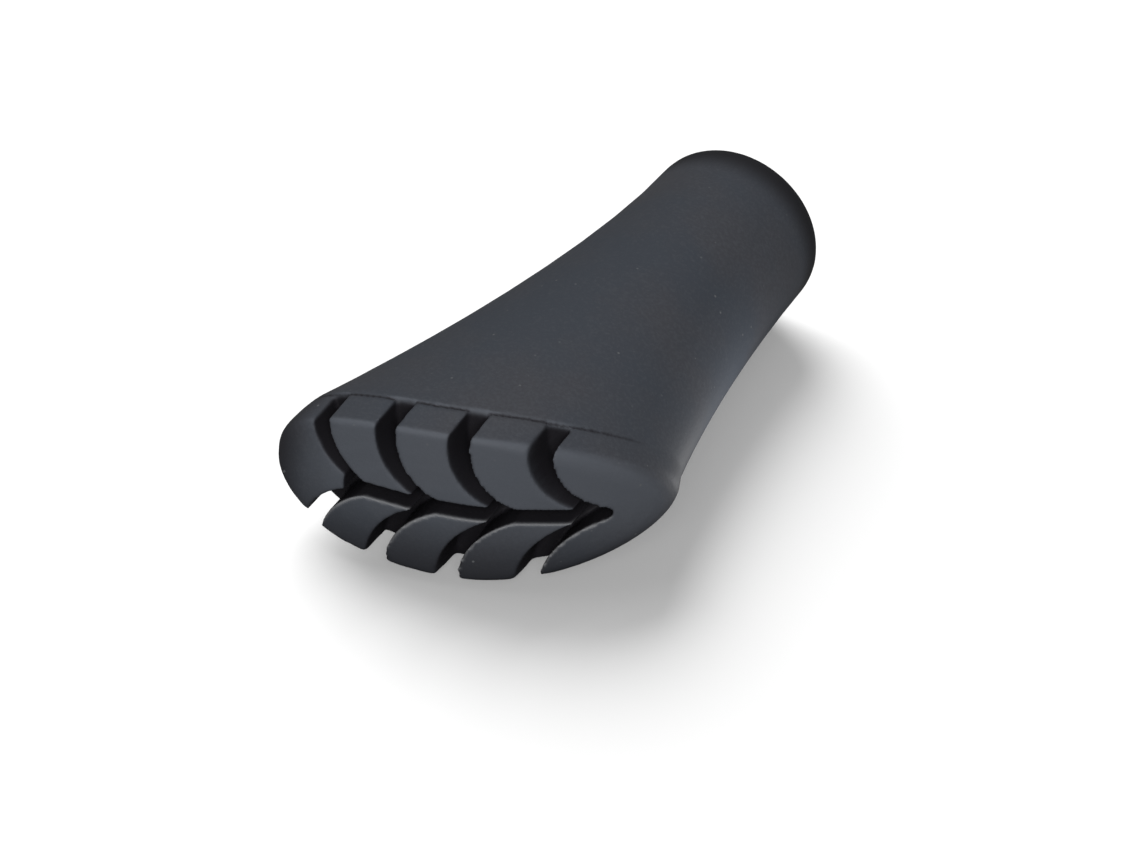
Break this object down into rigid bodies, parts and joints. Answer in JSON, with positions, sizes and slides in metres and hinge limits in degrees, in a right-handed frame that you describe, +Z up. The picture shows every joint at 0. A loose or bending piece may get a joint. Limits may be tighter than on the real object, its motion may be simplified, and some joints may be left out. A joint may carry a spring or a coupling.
{
  "type": "nordic walking pole tip",
  "caption": "Moulded rubber pad for a walking pole: a round collar with a blind socket flares into a leaning rocker sole cut into chevron tread blocks.",
  "frame": {"origin": "middle of the underside of the part's box, with the part lying on its broad side", "axes": "+Y along the pole from the sole to the collar's mouth, +X from the toe to the heel of the sole, +Z up across the pad"},
  "size_m": [0.038, 0.064, 0.02],
  "materials": {
    "rubber": "matte"
  },
  "bodies": {
    "root": {"rubber_tip": "rubber"}
  },
  "joints": []
}
